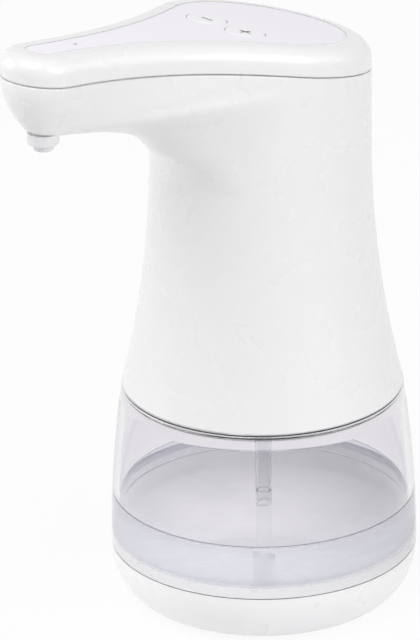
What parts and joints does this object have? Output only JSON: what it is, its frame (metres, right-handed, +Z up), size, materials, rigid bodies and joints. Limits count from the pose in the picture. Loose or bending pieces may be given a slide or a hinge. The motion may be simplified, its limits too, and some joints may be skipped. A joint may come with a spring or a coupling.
{
  "type": "automatic soap dispenser",
  "caption": "Free-standing automatic soap dispenser: clear flared tank on a rounded foot, and a white head that flows into a beak-shaped spout with two round keys.",
  "frame": {"origin": "centre of the underside of the foot, on the surface the dispenser stands on", "axes": "+Z up along the axis of the tank, the spout points to -Y, the minus key is on the -X side"},
  "size_m": [0.0924, 0.1487, 0.2018],
  "materials": {
    "white_shell": "satin white moulded plastic",
    "white_base": "satin white moulded plastic",
    "panel_white": "fine matt white plastic with a faint lilac tone",
    "key_white": "matt white plastic",
    "white_fitting": "white moulded plastic",
    "grey_plastic": "light grey moulded plastic",
    "pump_plastic": "natural moulded plastic",
    "gear_plastic": "natural moulded plastic",
    "dark_plastic": "black moulded plastic",
    "clear_tank": "clear plastic with a lilac grey tint, polished",
    "clear_lens": "milky light guide, polished",
    "dark_window": "dark polished window",
    "tube_plastic": "milky extruded plastic tube",
    "silicone": "milky soft silicone",
    "soft_rubber": "grey soft rubber",
    "steel": "zinc plated steel",
    "motor_steel": "drawn steel can",
    "board_green": "green circuit board",
    "cell_wrap": "printed foil wrap left plain"
  },
  "bodies": {
    "reservoir": {"tank": "clear_tank", "tank_base": "white_base", "base_plate": "grey_plastic", "base_screws": "steel", "foot_pad": "soft_rubber"},
    "head": {"main_housing": "white_shell", "top_cover": "white_shell", "control_panel": "panel_white", "led_lens": "clear_lens", "nozzle": "white_fitting", "nozzle_valve": "silicone", "nozzle_elbow": "grey_plastic", "outlet_hose": "silicone", "bulkhead": "white_fitting", "bulkhead_screws": "steel", "tank_seal": "silicone", "tube_grommet": "silicone", "dip_tube": "tube_plastic", "inlet_elbow": "grey_plastic", "pump_cover": "pump_plastic", "pump_body": "pump_plastic", "pump_screws": "steel", "idler_pin": "steel", "pump_motor": "motor_steel", "motor_cap": "dark_plastic", "control_board": "board_green", "key_switches": "dark_plastic", "board_parts": "dark_plastic", "board_screws": "steel", "led_board": "board_green", "status_led": "clear_lens", "sensor_board": "board_green", "ir_pair": "dark_window", "sensor_window": "dark_window", "battery_box": "grey_plastic", "battery_cells": "cell_wrap", "battery_contacts": "steel", "door_pin": "steel"},
    "minus_button": {"minus_key": "key_white"},
    "plus_button": {"plus_key": "key_white"},
    "pump_drive": {"drive_gear": "gear_plastic", "motor_shaft": "steel"},
    "pump_idler": {"idler_gear": "gear_plastic"},
    "door": {"battery_door": "grey_plastic", "door_contacts": "steel"}
  },
  "joints": [
    {"name": "head_lift", "type": "slide", "parent": "reservoir", "child": "head", "axis": [0, 0, 1], "range_m": [0, 0.07]},
    {"name": "minus_press", "type": "slide", "parent": "head", "child": "minus_button", "axis": [0, -0.2146, -0.9767], "range_m": [0, 0.0006], "stiffness_N_per_m": 1500},
    {"name": "plus_press", "type": "slide", "parent": "head", "child": "plus_button", "axis": [0, -0.2146, -0.9767], "range_m": [0, 0.0006], "stiffness_N_per_m": 1500},
    {"name": "drive_spin", "type": "hinge", "parent": "head", "child": "pump_drive", "pos_m": [-0.0054, -0.015, 0.0855], "axis": [0, 0, 1], "continuous": true},
    {"name": "idler_spin", "type": "hinge", "parent": "head", "child": "pump_idler", "pos_m": [0.0054, -0.015, 0.0855], "axis": [0, 0, 1], "continuous": true},
    {"name": "door_swing", "type": "hinge", "parent": "head", "child": "door", "pos_m": [0, 0.02973, 0.0752], "axis": [1, 0, 0], "range_deg": [0, 90]}
  ],
  "couplings": [
    {"joint": "idler_spin", "follows": "drive_spin", "ratio": -1}
  ]
}
